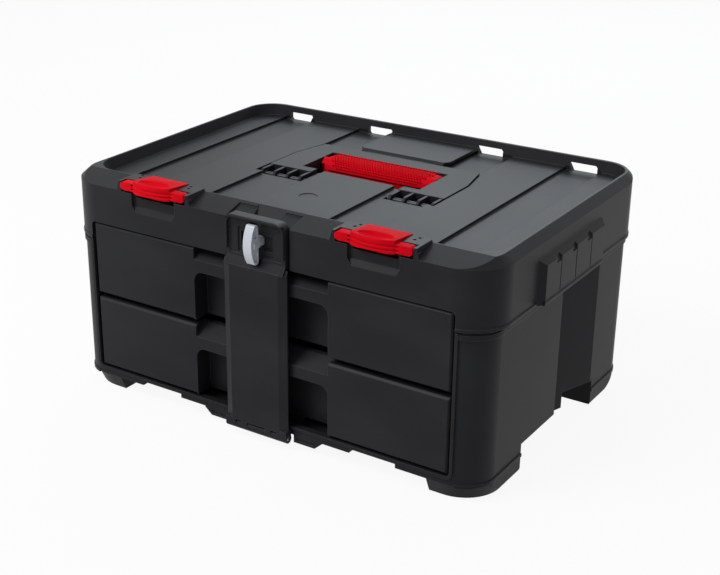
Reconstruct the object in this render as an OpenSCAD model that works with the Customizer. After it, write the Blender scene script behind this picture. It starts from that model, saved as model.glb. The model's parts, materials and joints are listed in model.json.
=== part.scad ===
// Portable tool box with two drawers on ball-bearing slides, a swing-down lock bar
// and a fold-flat carry handle. Millimetres, +Z up, front towards -Y.

/* [Cover] */
// Width of the cover over its skirt
cover_w = 481; // [450:1:510]
// Depth of the cover over its skirt
cover_d = 334; // [320:1:350]
// Corner radius of the cover
cover_r = 40; // [34:1:46]
// Thickness of the moulded walls
wall = 3; // [2.6:0.1:3.4]
// Height of the skirt above the drawer opening
skirt_h = 39.5; // [37:0.5:44]
// Rise of the rim above the skirt
rim_rise = 7.5; // [6.5:0.5:9]
// Width of the rim's slope at the sides
rim_w = 8.5; // [7:0.5:10]
// Depth of the sloped band along the front
band_d = 27; // [25:1:30]
// Depth of the deck below the rim
deck_drop = 12; // [10:0.5:13]
// Depth of the drain channels in the deck
channel_depth = 3; // [2:0.5:3.5]

/* [Case] */
// Height of the feet
foot_h = 16; // [12:1:20]
// Height of the front rail above the case floor
rail_h = 9; // [7:1:12]
// Step from the cover's skirt in to the case wall
skirt_step = 4.5; // [4:0.5:6]
// Width of each front column beside the drawers
column_w = 28.5; // [26:0.5:34]
// Width of the stacking feet
foot_w = 53; // [45:1:60]
// Height of the open hand grip in each side
grip_top = 157; // [140:1:160]

/* [Drawers] */
// Height of each drawer front
front_h = 76; // [72:1:80]
// Gap between the two drawer fronts
front_gap = 5.5; // [4:0.5:7]
// Gap below the lower drawer front and beside both fronts
front_clear = 2; // [1.5:0.5:3]
// Thickness of the drawer fronts' skin
front_skin = 3; // [2.5:0.5:4]
// Width of the finger recess in each front
recess_w = 155; // [140:1:170]
// Depth of the finger recess
recess_d = 22; // [20:1:26]
// Height of the pull strip above the recess
strip_h = 24.5; // [22:0.5:27]
// Inside depth of each tray from front to back
tray_len = 275; // [262:1:280]
// Height of each tray
tray_h = 63; // [58:1:65]
// Thickness of the tray walls
tray_wall = 2.5; // [2:0.1:3]
// Thickness of the removable dividers
divider_t = 2; // [1.6:0.1:2.6]

/* [Slides] */
// Height of the slides
slide_h = 30; // [28:0.5:34]
// Width of the slides between case and tray
slide_t = 10.4; // [10.2:0.1:11.4]
// Length of each slide member
slide_len = 280; // [260:1:284]
// Thickness of the rolled steel
steel_t = 1.2; // [1:0.05:1.3]
// Diameter of the steel balls
ball_d = 2.8; // [2.6:0.1:3]
// Balls in each row of a cage
balls_per_row = 5; // [3:1:7]

/* [Lock bar] */
// Width of the lock bar
bar_w = 72; // [66:1:76]
// Width of the long bevels on the lock bar
bar_bevel = 8; // [6:0.5:9]
// Reach of the bar's face in front of the drawer fronts
bar_reach = 9; // [8:0.5:10]
// Wall thickness of the bar
bar_skin = 2.5; // [2:0.1:3]
// Radius of the hinge pin at the foot of the bar
bar_pin_r = 2; // [1.5:0.1:2.5]

/* [Turn knob] */
// Height of the knob's wing
knob_h = 38; // [34:1:39]
// Width of the knob's wing
knob_w = 9.5; // [8:0.5:10.5]
// Reach of the knob in front of the cover
knob_reach = 16; // [14:0.5:18]
// Radius of the knob's shaft
knob_shaft_r = 5; // [4:0.5:5.5]

/* [Carry handle] */
// Width of the handle at its hinge
handle_w = 207; // [200:1:215]
// Width of the handle at its back edge
handle_back_w = 189; // [180:1:196]
// Width of the finger window
window_w = 140; // [130:1:150]
// Thickness of the handle's arms
arm_t = 12; // [10:0.5:13]
// Depth of the red grip from front to back
grip_d = 28; // [25:1:32]
// Height of the red grip
grip_h = 23; // [20:0.5:24]
// Radius of the handle's hinge pins
handle_pin_r = 2.5; // [2:0.1:3]

/* [Latches] */
// Distance of each latch from the middle
latch_x = 125; // [115:1:135]
// Length of the latch over its ears
latch_w = 78; // [70:1:82]
// Width of the latch plate
latch_plate_w = 45; // [40:1:50]
// Radius of the latch pins
latch_pin_r = 1.8; // [1.5:0.1:2]

/* [Hidden] */

// clearances
run_gap = 0.3;      // between pieces that move past each other
pin_gap = 0.05;     // running fit of a pin, on the radius
seat_gap = 0.02;    // fixed pin in its seat, on the radius
cut = 1;            // how far a cutter runs past the face that it opens

// heights, from the ground up
rail_top = foot_h + rail_h;
lower_z = rail_top + front_clear;
front_pitch = front_h + front_gap;
upper_z = lower_z + front_pitch;
skirt_z = upper_z + front_h + 1.5;
edge_z = skirt_z + skirt_h;
rim_z = edge_z + rim_rise;
deck_z = rim_z - deck_drop;
deck_t = 2 * wall;
roof_z = deck_z - deck_t;
seam_z = skirt_z - 18;
case_top = roof_z - 4;
header_z = skirt_z + 17;
tab_z = case_top - 11;
cover_screw_r = 1.5;

// front to back
cover_front = -cover_d / 2;
cover_back = cover_d / 2;
face_y = cover_front + 1;
frame_y = face_y + 1;
frame_t = 6;
case_back = cover_back - skirt_step + 1.5;
lip_t = 0.8;
rim_t = 2;
centre_shift = (knob_reach - lip_t) / 2;

// lugs at the sides
lug_front = -78;
lug_back = 61;
lug_d = 6.5;
lug_pitch = 33.5;

// sideways
case_w = cover_w - 2 * skirt_step;
case_r = cover_r - 8;
bay_half = case_w / 2 - column_w;
front_w = 2 * bay_half - 2.5 * front_clear;
tray_half = bay_half - slide_t;
inner_x = bay_half + wall;

// feet and hand grips
floor_rib = 50;
rail_step = [101, 151];
rail_step_h = 4.2;
rail_step_back = frame_y + 9;
foot_lean = 8;
foot_front_y = frame_y + foot_lean;
foot_d = 86;
foot_front_back = frame_y + foot_d;

side_edge_z = foot_h + 12;
grip_front = -8;
grip_deep = case_w / 2 - 22;
grip_deep_back = 12;
grip_back = 78;
grip_low = foot_h - 5;
foot_rear_front = grip_back + 4;

// bar hinge and bar levels
hinge_y = face_y - 4.5;
hinge_z = foot_h - 3;
knuckle_r = 4.6;
bar_face = face_y - bar_reach;
bar_back = face_y - 3.5;
bar_upper_face = cover_front - 3;
bar_upper_back = cover_front + 4;
bar_upper_half = bar_w / 2 - 2.5;
bar_top = edge_z + 5.5;
notch_half = bar_w / 2 + 0.3;
notch_back = bar_upper_back + 1.5;
notch_centre_half = 11;
notch_side = [17.5, 24.5];
bar_step_z = skirt_z + 1;
bar_foot = 12;
knob_z = edge_z - 19;
slot_w = knob_w + 3.5;
knob_pocket = 11.5;
padlock_r = 2.6;
slot_low = knob_z - knob_h / 2 - 2;
slot_high = knob_z + knob_h / 2 + 2;
lip_z = slot_high + 0.4;

// drawers
recess_h = front_h - strip_h;
recess_r = 10;
tray_front = face_y + recess_d;
tray_back = tray_front + tray_len + 2 * tray_wall;
tray_drop = 8;
tray_chamfer = 4;
divider_x = tray_half / 3;
screw_x = [recess_w / 2 + 27.5, tray_half - 22];

// slides: q is the height from the slide's own centre, p the distance from the case wall
slide_front = tray_front - tray_wall - 0.5;
race_p = slide_t / 2 + 0.8;
ball_r = ball_d / 2;
race_gap = 0.2;
race_r = ball_r + race_gap;
outer_q = slide_h / 2 - steel_t - race_r;
inner_q = outer_q - 2 * race_r - steel_t;
cage_t = 0.5;
cage_len = 150;
ball_pitch = 30;

// carry handle
hinge_line_y = -17;
handle_top = deck_z + 0.5;
handle_pin_z = handle_top - arm_t / 2;
arm_front = hinge_line_y + 15;
handle_d = 91;
handle_back = arm_front + handle_d;
handle_bend = arm_front + 48;
well_floor = handle_top + 1 - grip_h - 1.5;
well_gap = 2;
hinge_in = window_w / 2 - 19;
rib_t = 3;
tongue_y = arm_front + 11;
window_back = arm_front + 69;
eye_r = arm_t / 2 - 0.6;
ledge_rise = 2.4;

// latches
latch_y = cover_front + 3;
latch_z = edge_z + 6;
ear_h = 9;
latch_rear = latch_y + 23.5;
relief_half = latch_plate_w / 2 + 4.5;
relief_low = edge_z - 20;
relief_d = 3.6;
latch_swing_r = 11;
latch_lip_r = 70;
latch_reach = 10;
latch_wall = 4;
latch_top = latch_z + 4;

black = [0.19, 0.19, 0.2];
dark = [0.15, 0.15, 0.16];
red = [0.75, 0.05, 0.12];
grey = [0.78, 0.8, 0.82];
steel = [0.62, 0.63, 0.65];

// ---------- shared shapes ----------

module placed() { translate([0, centre_shift, 0]) children(); }

module mirrored_x() {
  children();
  mirror([1, 0, 0]) children();
}

// box between two corners
module span(low, high) { translate(low) cube(high - low); }

// profile drawn as (y, z), extruded from x0 to x1
module slab_x(x0, x1) {
  translate([x0, 0, 0]) rotate([90, 0, 90]) linear_extrude(x1 - x0) children();
}

// profile drawn as (x, z), extruded from y0 to y1
module slab_y(y0, y1) {
  translate([0, y1, 0]) rotate([90, 0, 0]) linear_extrude(y1 - y0) children();
}

module rod_x(x0, x1, y, z, r) {
  translate([x0, y, z]) rotate([0, 90, 0]) cylinder(h = x1 - x0, r = r, $fn = 48);
}

module rod_y(y0, y1, x, z, r) {
  translate([x, y1, z]) rotate([90, 0, 0]) cylinder(h = y1 - y0, r = r, $fn = 48);
}

module rounded_rect(x0, x1, y0, y1, r) {
  translate([x0 + r, y0]) square([x1 - x0 - 2 * r, y1 - y0]);
  translate([x0, y0 + r]) square([x1 - x0, y1 - y0 - 2 * r]);
  for (x = [x0 + r, x1 - r], y = [y0 + r, y1 - r])
    translate([x, y]) circle(r, $fn = 64);
}

// block with rounded corners whose four sides lean in by inset from z0 to z1
module leaning_block(half, y0, y1, r, z0, z1, inset) {
  slab_x(-half + r, half - r) polygon([[y0, z0], [y0 + inset, z1], [y1 - inset, z1], [y1, z0]]);
  slab_y(y0 + r, y1 - r)
    polygon([[-half, z0], [-half + inset, z1], [half - inset, z1], [half, z0]]);
  for (x = [-half + r, half - r], y = [y0 + r, y1 - r])
    translate([x, y, z0]) cylinder(h = z1 - z0, r1 = r, r2 = r - inset, $fn = 96);
}

// ---------- case ----------

module case_outline(inset) {
  rounded_rect(-case_w / 2 + inset, case_w / 2 - inset, frame_y + inset, case_back - inset,
    case_r - inset);
}

// plan of the hand grip that is cut into the right side, grown by g
module grip_plan(g) {
  polygon([[case_w / 2 + 10, grip_front - g], [case_w / 2, grip_front - g],
    [grip_deep - g, grip_front + 9 - g], [grip_deep - g, grip_deep_back + 0.7 * g],
    [case_w / 2, grip_back + 1.3 * g], [case_w / 2 + 10, grip_back + 1.3 * g]]);
}

module side_profile() {
  polygon([[frame_y, foot_h + 2], [frame_y, 0], [foot_front_back, 0], [foot_front_back, foot_h + 2]]);
  polygon([[foot_rear_front, foot_h + 2], [foot_rear_front, 0], [case_back, 0], [case_back, foot_h + 2]]);
}

module feet() {
  intersection() {
    linear_extrude(foot_h + 2) case_outline(0);
    leaning_block(case_w / 2 - 1, foot_front_y, case_back - 5, case_r + 6, 0, foot_h + 2, -foot_lean);
    mirrored_x() slab_x(case_w / 2 - foot_w, case_w / 2) side_profile();
  }
}

module case_shell() {
  difference() {
    translate([0, 0, foot_h]) linear_extrude(case_top - foot_h) case_outline(0);
    translate([0, 0, foot_h + wall]) linear_extrude(case_top) case_outline(wall);
    // raised lower edge along both sides
    mirrored_x()
      span([inner_x, foot_front_back, 0], [case_w, foot_rear_front, side_edge_z]);
  }
  // bead round the base, away from the front opening
  difference() {
    translate([0, 0, foot_h - 1]) linear_extrude(3.5) case_outline(-1);
    translate([0, 0, foot_h - 2]) linear_extrude(6) case_outline(wall);
    span([-bay_half - 4, frame_y - 2, 0], [bay_half + 4, frame_y + 5, foot_h + 5]);
    mirrored_x() span([inner_x, foot_front_back, 0], [case_w, foot_rear_front, foot_h + 5]);
  }
  // bead below the seam with the cover
  difference() {
    translate([0, 0, seam_z - 7.5]) linear_extrude(5) case_outline(-1.5);
    translate([0, 0, seam_z - 8.5]) linear_extrude(7) case_outline(wall);
  }
}

module front_frame() {
  // columns, rail and header behind the skirt
  intersection() {
    translate([0, 0, foot_h]) linear_extrude(case_top - foot_h) case_outline(0);
    difference() {
      span([-case_w / 2, frame_y, foot_h], [case_w / 2, frame_y + frame_t, case_top]);
      slab_y(frame_y - cut, frame_y + frame_t + cut)
        rounded_rect(-bay_half, bay_half, rail_top, skirt_z + 4, 5);
      // header stays below the latches and clear of the bar's notch
      span([-bay_half, frame_y - cut, header_z], [bay_half, frame_y + frame_t + cut, case_top + cut]);
      span([-notch_half - wall - 1, frame_y - cut, skirt_z],
        [notch_half + wall + 1, frame_y + frame_t + cut, case_top + cut]);
    }
  }
  // bead round the drawer opening
  slab_y(frame_y - 1.5, frame_y) difference() {
    rounded_rect(-bay_half - 3, bay_half + 3, rail_top - 3, skirt_z - 1, 8);
    rounded_rect(-bay_half, bay_half, rail_top, skirt_z + 4, 5);
  }
}

module case_inner_walls() {
  mirrored_x() {
    span([bay_half, frame_y + 1, foot_h], [inner_x, case_back - 1, case_top]);
    // closing floor between the inner and the outer wall
    difference() {
      span([bay_half, foot_front_back - 1, side_edge_z],
        [case_w / 2 - 0.5, foot_rear_front + 1, side_edge_z + wall]);
      linear_extrude(case_top) grip_plan(0);
    }
    // ribs between the walls
    for (y = [foot_front_back - wall, foot_rear_front])
      span([bay_half, y, foot_h], [case_w / 2 - 1, y + wall, seam_z]);
    // tabs that take the cover's screws
    for (y = cover_screw_y()) difference() {
      span([bay_half - 12, y - 7, tab_z - wall], [inner_x, y + 7, tab_z]);
      translate([bay_half - 6, y, tab_z - 9]) cylinder(h = 12, r = cover_screw_r + 0.3, $fn = 32);
    }
  }
}

function cover_screw_y() = [cover_front + 47, 15, case_back - 23];

module hinge_knuckle(x0, x1) {
  rod_x(x0, x1, hinge_y, hinge_z, knuckle_r);
  span([x0, hinge_y, hinge_z - knuckle_r], [x1, frame_y + 4, hinge_z + 2]);
  span([x0, hinge_y + knuckle_r + 0.4, hinge_z - knuckle_r], [x1, frame_y + 4, foot_h + 1]);
}

module stacking_catch() {
  x0 = bar_w / 2 + 2;
  low = foot_h - 8;
  difference() {
    slab_y(frame_y, frame_y + 14)
      polygon([[x0, foot_h + 1], [x0, low], [x0 + 24, low], [x0 + 32, foot_h - 1], [x0 + 32, foot_h + 1]]);
    slab_y(frame_y - cut, frame_y + 1)
      polygon([[x0 + 3, foot_h - 2], [x0 + 3, low + 2], [x0 + 22, low + 2], [x0 + 26, foot_h - 2]]);
  }
}

module case_body() {
  color(dark) placed() difference() {
    union() {
      difference() {
        union() {
          case_shell();
          feet();
          // liner of the hand grips
          mirrored_x() {
            intersection() {
              translate([0, 0, side_edge_z]) linear_extrude(grip_top + wall - side_edge_z) grip_plan(wall);
              linear_extrude(case_top) case_outline(0);
            }
            // its deep side reaches lower
            intersection() {
              translate([0, 0, grip_low]) linear_extrude(side_edge_z - grip_low + 1) grip_plan(wall);
              span([bay_half, grip_front, 0], [grip_deep + 3 * wall, grip_back / 2, grip_top]);
            }
          }
        }
        // hand grips, open below
        mirrored_x() translate([0, 0, -cut]) linear_extrude(grip_top + cut) grip_plan(0);
        // opening of the drawer bay
        span([-bay_half, frame_y - 5, rail_top], [bay_half, frame_y + frame_t, case_top + cut]);
      }
      front_frame();
      case_inner_walls();
      // ribs under the floor
      for (i = [-3:3]) span([i * floor_rib - rib_t / 2, foot_front_y + 10, foot_h - 5],
        [i * floor_rib + rib_t / 2, case_back - 20, foot_h + 1]);
      for (i = [-2:2]) span([-case_w / 2 + foot_w, i * floor_rib - rib_t / 2, foot_h - 5],
        [case_w / 2 - foot_w, i * floor_rib + rib_t / 2, foot_h + 1]);
      // floor above the rail's step
      mirrored_x() span([rail_step[0] - 2, frame_y + 1, foot_h + 0.5],
        [rail_step[1] + 2, rail_step_back + wall, foot_h + rail_step_h + 2]);
      // wall that closes the notch under the lower drawer's recess
      span([-notch_half - 0.6, tray_front - 2, foot_h + 1],
        [notch_half + 0.6, tray_front, lower_z + tray_drop - run_gap]);
      // stacking catches under the rail
      mirrored_x() stacking_catch();
      hinge_knuckle(-notch_centre_half + run_gap, notch_centre_half - run_gap);
      mirrored_x() hinge_knuckle(notch_side[0] + run_gap, notch_side[1] - run_gap);
    }
    // the bar's pin
    rod_x(-bar_w, bar_w, hinge_y, hinge_z, bar_pin_r + seat_gap);
    // room for the skirt
    difference() {
      span([-case_w, frame_y - 5, seam_z - 1.5], [case_w, case_back + 5, case_top + cut]);
      translate([0, 0, seam_z - 2]) linear_extrude(case_top) cover_outline(wall + 0.5);
    }
    // stepped underside of the rail
    mirrored_x() span([rail_step[0], frame_y - 3, foot_h - 3],
      [rail_step[1], rail_step_back, foot_h + rail_step_h]);
  }
}

// ---------- cover ----------

module cover_outline(inset) {
  rounded_rect(-cover_w / 2 + inset, cover_w / 2 - inset, cover_front + inset, cover_back - inset,
    cover_r - inset);
}

// body of the cover up to the rim, with the wide sloped band in front
module cover_block() {
  translate([0, 0, seam_z]) linear_extrude(edge_z - seam_z) cover_outline(0);
  // thicker lip along the skirt's lower edge
  translate([0, 0, seam_z]) linear_extrude(3) cover_outline(-lip_t);
  difference() {
    intersection() {
      leaning_block(cover_w / 2, cover_front, cover_back + rim_w, cover_r, edge_z, rim_z, rim_w);
      translate([0, 0, edge_z]) linear_extrude(rim_rise) cover_outline(0);
    }
    slab_x(-cover_w, cover_w) polygon([[cover_front, edge_z], [cover_front + band_d, rim_z],
      [cover_front + band_d, rim_z + cut], [cover_front - cut, rim_z + cut], [cover_front - cut, edge_z]]);
  }
}

// sunken deck inside the rim
module deck_pocket() {
  lean = 3.5;
  leaning_block(cover_w / 2 - rim_w - rim_t - lean, cover_front + band_d + 1 + lean,
    cover_back - wall - lean, cover_r - rim_w - rim_t - lean, deck_z, rim_z + 0.3, -lean);
}

// each drain channel as [inner x, outer x]
function channels() = [[42, 97], [157, 197]];

// raised blocks in the front band that hold the latches
module latch_platforms() {
  half = latch_w / 2 + latch_wall;
  mirrored_x() slab_y(cover_front, latch_rear + 0.5) polygon([[latch_x - half - 3, deck_z - 4],
    [latch_x - half - 3, edge_z - 1], [latch_x - half, latch_top], [latch_x + half, latch_top],
    [latch_x + half + 3, edge_z - 1], [latch_x + half + 3, deck_z - 4]]);
}

// low ledge between the handle and the back rim
module back_ledge() {
  half = 54;
  front = handle_back + 6;
  translate([0, 0, deck_z - cut]) linear_extrude(cut + ledge_rise)
    polygon([[-half + 4, front], [half - 4, front], [half, front + 5], [half, cover_back],
      [-half, cover_back], [-half, front + 5]]);
  // sloped front edge
  slab_x(-half + 4, half - 4) polygon([[front - ledge_rise, deck_z - cut], [front - ledge_rise, deck_z],
    [front + 0.01, deck_z + ledge_rise], [front + 0.01, deck_z - cut]]);
}

module deck_channels() {
  difference() {
    mirrored_x() for (c = channels())
      span([c[0], cover_front + band_d + 3.5, deck_z - channel_depth],
        [c[1], cover_back - 2 * wall, deck_z + cut]);
    latch_platforms();
    back_ledge();
  }
}

// slots through the back rim, at the ends of the channels
module rim_slots() {
  mirrored_x() for (c = channels())
    slab_y(cover_back - 3 * wall, cover_back + cut)
      translate([(c[0] + c[1]) / 2, deck_z - channel_depth - 1])
        polygon([[-12.5, 0], [13, 0], [15, 2], [15, 7.5], [13, 9.5], [-15, 9.5], [-16.5, 7.5]]);
}

// plan of the well that the handle folds into
module well_plan(g) {
  back = handle_back + g;
  polygon([[-handle_w / 2 - g, hinge_line_y - 7 - g], [-handle_w / 2 - g, handle_bend],
    [-handle_back_w / 2 - g, back], [handle_back_w / 2 + g, back],
    [handle_w / 2 + g, handle_bend], [handle_w / 2 + g, hinge_line_y - 7 - g],
    [hinge_in - g, hinge_line_y - 7 - g], [hinge_in - g, tongue_y - g],
    [-hinge_in + g, tongue_y - g], [-hinge_in + g, hinge_line_y - 7 - g]]);
}

module side_lug() {
  x0 = cover_w / 2 - 0.5;
  difference() {
    intersection() {
      translate([0, 0, seam_z]) linear_extrude(skirt_h + 10)
        polygon([[x0, lug_front], [x0 + lug_d, lug_front + 7], [x0 + lug_d, lug_back - 5], [x0, lug_back]]);
      slab_y(lug_front, lug_back) polygon([[x0, seam_z], [x0 + lug_d, seam_z],
        [x0 + lug_d, seam_z + 38], [x0, seam_z + 44]]);
    }
    // grooves between the finger pads
    for (i = [1, 2, 3]) translate([0, lug_front + 3.5 + i * lug_pitch, 0]) {
      span([x0 + lug_d - 0.8, -0.8, seam_z + 5], [x0 + lug_d + cut, 0.8, seam_z + 50]);
      // stepped tops
      slab_y(-lug_pitch * 0.3, 0) polygon([[x0 + 2.5, seam_z + 44], [x0 + lug_d - 1.2, seam_z + 34],
        [x0 + lug_d + cut, seam_z + 34], [x0 + lug_d + cut, seam_z + 44]]);
    }
  }
  // lip along the foot of the lug
  span([x0, lug_front + 5, seam_z], [x0 + lug_d + lip_t, lug_back - 4, seam_z + 3]);
}

module latch_pocket() {
  translate([latch_x, 0, 0]) {
    // ears turn about the pin with their corners clear of the floor
    span([-latch_w / 2 - 1, cover_front - cut, latch_z - norm([ear_h, ear_h]) / 2 - run_gap],
      [latch_w / 2 + 1, latch_y + norm([ear_h, ear_h]) / 2 + run_gap, latch_top + cut]);
    span([-latch_plate_w / 2 - 1, latch_y + ear_h / 2, latch_z + 0.2],
      [latch_plate_w / 2 + 1, latch_rear + cut, latch_top + cut]);
    rod_x(-latch_w / 2 - 5, latch_w / 2 + 5, latch_y, latch_z, latch_pin_r + seat_gap);
    // room that the lip swings through
    rod_x(-latch_plate_w / 2 - 1, latch_plate_w / 2 + 1, latch_y, latch_z, latch_swing_r);
    intersection() {
      slab_x(-relief_half, relief_half)
        polygon([[cover_front - 1, relief_low - 2], [cover_front, relief_low],
          [cover_front + relief_d, relief_low + 6], [cover_front + relief_d, edge_z],
          [cover_front - 1, edge_z]]);
      slab_y(cover_front - cut, cover_front + relief_d + cut)
        polygon([[-relief_half, edge_z], [-relief_half, relief_low + 7], [-relief_half + 6, relief_low - 2],
          [relief_half - 6, relief_low - 2], [relief_half, relief_low + 7], [relief_half, edge_z]]);
    }
    // small drain holes beside the plate
    for (side = [-1, 1], step = [0, 6])
      translate([side * (latch_plate_w / 2 + 8) + step / 3, latch_rear - 8 + step, deck_z + 4])
        cylinder(h = latch_top - deck_z, r = 1.6, $fn = 24);
  }
}

module finger_scoop() {
  // lowered band behind the bar's lip
  slab_x(-notch_half, notch_half)
    polygon([[cover_front - 1, edge_z - 3], [notch_back, edge_z - 3], [notch_back, edge_z - 1],
      [cover_front + band_d - 4, rim_z - 2.5], [cover_front + band_d - 4, rim_z + 1],
      [cover_front - 1, rim_z + 1]]);
  // deeper pocket in the middle, its sides and its back sloped
  intersection() {
    slab_y(notch_back - 1, cover_front + band_d)
      polygon([[-8, edge_z - 9], [11, edge_z - 9], [17, rim_z + 1], [-17, rim_z + 1]]);
    slab_x(-notch_half, notch_half)
      polygon([[notch_back - 1, edge_z - 9], [notch_back + 4, edge_z - 9],
        [cover_front + band_d, rim_z + 1], [notch_back - 1, rim_z + 1]]);
  }
}

module top_cover() {
  color(black) placed() difference() {
    union() {
      difference() {
        cover_block();
        // hollow under the deck
        translate([0, 0, seam_z - cut]) linear_extrude(roof_z - seam_z + cut) cover_outline(wall);
        // skirt is shorter above the drawers
        slab_y(cover_front - 2, frame_y + frame_t + 2)
          rounded_rect(-bay_half, bay_half, lower_z, skirt_z, 5);
      }
      mirrored_x() side_lug();
      latch_platforms();
      // well of the handle
      translate([0, 0, well_floor - wall]) linear_extrude(roof_z - well_floor + wall + 1)
        well_plan(well_gap + wall);
      // solid backs of the notch and of the latch reliefs
      span([-notch_half - wall, cover_front + 1, skirt_z], [notch_half + wall, notch_back + wall, roof_z + 1]);
      mirrored_x() translate([latch_x, 0, 0])
        span([-relief_half - wall, cover_front + 1, header_z + run_gap],
          [relief_half + wall, cover_front + 10, roof_z + 1]);
      // bush of the knob
      rod_y(notch_back, notch_back + 11, 0, knob_z, knob_shaft_r + 4);
      // bosses of the cover screws
      mirrored_x() for (y = cover_screw_y())
        translate([bay_half - 6, y, tab_z + 0.01]) cylinder(h = roof_z - tab_z + 1, r = 5, $fn = 48);
    }
    difference() {
      deck_pocket();
      latch_platforms();
      back_ledge();
    }
    deck_channels();
    rim_slots();
    translate([0, 0, well_floor]) linear_extrude(rim_z) well_plan(well_gap);
    mirrored_x() {
      latch_pocket();
      rod_x(hinge_in - well_gap - wall - cut, handle_w / 2 + well_gap + wall - 1, hinge_line_y, handle_pin_z,
        handle_pin_r + seat_gap);
      for (y = cover_screw_y())
        translate([bay_half - 6, y, tab_z - 1])
          cylinder(h = roof_z - tab_z - 2, r = cover_screw_r + seat_gap, $fn = 32);
    }
    // notch for the bar
    span([-notch_half, cover_front - 2, skirt_z - cut], [notch_half, notch_back, rim_z]);
    finger_scoop();
    rod_y(cover_front, notch_back + 12, 0, knob_z, knob_shaft_r + 0.08);
    // round gate marks
    for (p = [[-179.5, 7], [179.5, 7], [-11, -68]])
      translate([p[0], p[1], deck_z - 0.6]) cylinder(h = 3, r = 9.5, $fn = 64);
  }
}

module cover_screws() {
  color(steel) placed() mirrored_x() for (y = cover_screw_y()) translate([bay_half - 6, y, 0]) {
    translate([0, 0, tab_z - wall - 2.5]) cylinder(h = 2.5, r = 3.6, $fn = 32);
    translate([0, 0, tab_z - wall - 1]) cylinder(h = roof_z - tab_z, r = cover_screw_r, $fn = 32);
  }
}

// ---------- carry handle ----------

module handle_plan() {
  difference() {
    polygon([[-handle_w / 2, arm_front], [-handle_w / 2, handle_bend], [-handle_back_w / 2, handle_back],
      [handle_back_w / 2, handle_back], [handle_w / 2, handle_bend], [handle_w / 2, arm_front]]);
    translate([-window_w / 2, arm_front - cut]) square([window_w, window_back - arm_front + cut]);
  }
}

// x of the ribs that stand round each hinge pin
function hinge_ribs() = [for (i = [0:3]) hinge_in + 1 + i * (handle_w / 2 - hinge_in - rib_t - 2) / 3];

module carry_handle() {
  color(black) placed() difference() {
    union() {
      translate([0, 0, handle_top - arm_t]) linear_extrude(arm_t) handle_plan();
      mirrored_x() {
        // inner front corner of each arm
        span([hinge_in + 1, arm_front, handle_top - arm_t], [window_w / 2 + 1, tongue_y, handle_top]);
        for (x = hinge_ribs()) {
          rod_x(x, x + rib_t, hinge_line_y, handle_pin_z, eye_r);
          span([x, hinge_line_y, handle_pin_z - eye_r], [x + rib_t, arm_front + 1, handle_pin_z + eye_r]);
        }
      }
      // tongue that carries the grip
      span([-window_w / 2 - 1, window_back - grip_d + 8, handle_top - 16],
        [window_w / 2 + 1, window_back + 1, handle_top - 6]);
    }
    mirrored_x() rod_x(hinge_in, handle_w / 2 + 1, hinge_line_y, handle_pin_z, handle_pin_r + pin_gap);
    // hollow underside of the cross bar
    span([-handle_back_w / 2 + 10, window_back + 3, handle_top - arm_t - 1],
      [handle_back_w / 2 - 10, handle_back - 3, handle_top - 3]);
  }
}

module handle_grip() {
  half = window_w / 2 - 1;
  low = handle_top + 1 - grip_h;
  rib_pitch = 4;
  ribs = floor((half - 14) / rib_pitch);
  color(red) placed() difference() {
    intersection() {
      slab_x(-half, half) rounded_rect(window_back - grip_d, window_back - 0.2, low, handle_top + 1, 7);
      linear_extrude(rim_z) rounded_rect(-half, half, window_back - grip_d, window_back + 12, 12);
    }
    span([-window_w, window_back - grip_d + 8 - seat_gap, handle_top - 16 - seat_gap],
      [window_w, window_back + 1, handle_top - 6 + seat_gap]);
    // grooves across the top and the front
    for (i = [-ribs:ribs]) {
      span([i * rib_pitch - 0.7, window_back - grip_d + 7, handle_top + 0.2],
        [i * rib_pitch + 0.7, window_back - 7, handle_top + 2]);
      span([i * rib_pitch - 0.7, window_back - grip_d - 1, low + 7],
        [i * rib_pitch + 0.7, window_back - grip_d + 0.8, handle_top - 6]);
    }
  }
}

module handle_pin() {
  rod_x(hinge_in - well_gap - wall, handle_w / 2 + well_gap + wall - 1.5, hinge_line_y, handle_pin_z,
    handle_pin_r);
}

module handle_pin_left() { color(steel) placed() mirror([1, 0, 0]) handle_pin(); }
module handle_pin_right() { color(steel) placed() handle_pin(); }

// ---------- latches ----------

module latch() {
  lift = latch_z;
  difference() {
    union() {
      // ears round the pin
      slab_y(latch_y - ear_h / 2, latch_y + ear_h / 2)
        rounded_rect(-latch_w / 2, latch_w / 2, lift - ear_h / 2, lift + ear_h / 2, 3.5);
      // plate with its curved front lip
      intersection() {
        slab_x(-latch_plate_w / 2, latch_plate_w / 2) polygon([[latch_rear, lift + 1],
          [latch_rear - 0.5, lift + 6], [latch_y + 12, lift + 7.6], [latch_y + 1, lift + 8],
          [latch_y - 6, lift + 7], [latch_y - 9.5, lift + 4], [latch_y - 9.5, lift - 1],
          [latch_y - 7, lift - 3.5], [latch_y + ear_h / 2, lift - ear_h / 2], [latch_y + 8, lift + 1]]);
        translate([0, latch_y - latch_reach + latch_lip_r, 0])
          cylinder(h = rim_z + 20, r = latch_lip_r, $fn = 96);
      }
    }
    rod_x(-latch_w, latch_w, latch_y, lift, latch_pin_r + pin_gap);
    // finger dent
    translate([0, latch_y + 2, lift + 45]) sphere(r = 39.5, $fn = 96);
    // curved grooves in the lip
    for (dz = [-0.6, 2.4]) translate([0, latch_y - latch_reach + latch_lip_r, lift + dz])
      rotate_extrude($fn = 96) translate([latch_lip_r + 0.2, 0]) circle(0.9, $fn = 24);
    // serration at the rear edge
    for (i = [-2:2]) translate([4 + i * 3.4, latch_rear, lift]) cylinder(h = 9, r = 0.9, $fn = 16);
  }
}

module latch_pin() { rod_x(-latch_w / 2 - 4, latch_w / 2 + 4, latch_y, latch_z, latch_pin_r); }

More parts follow.
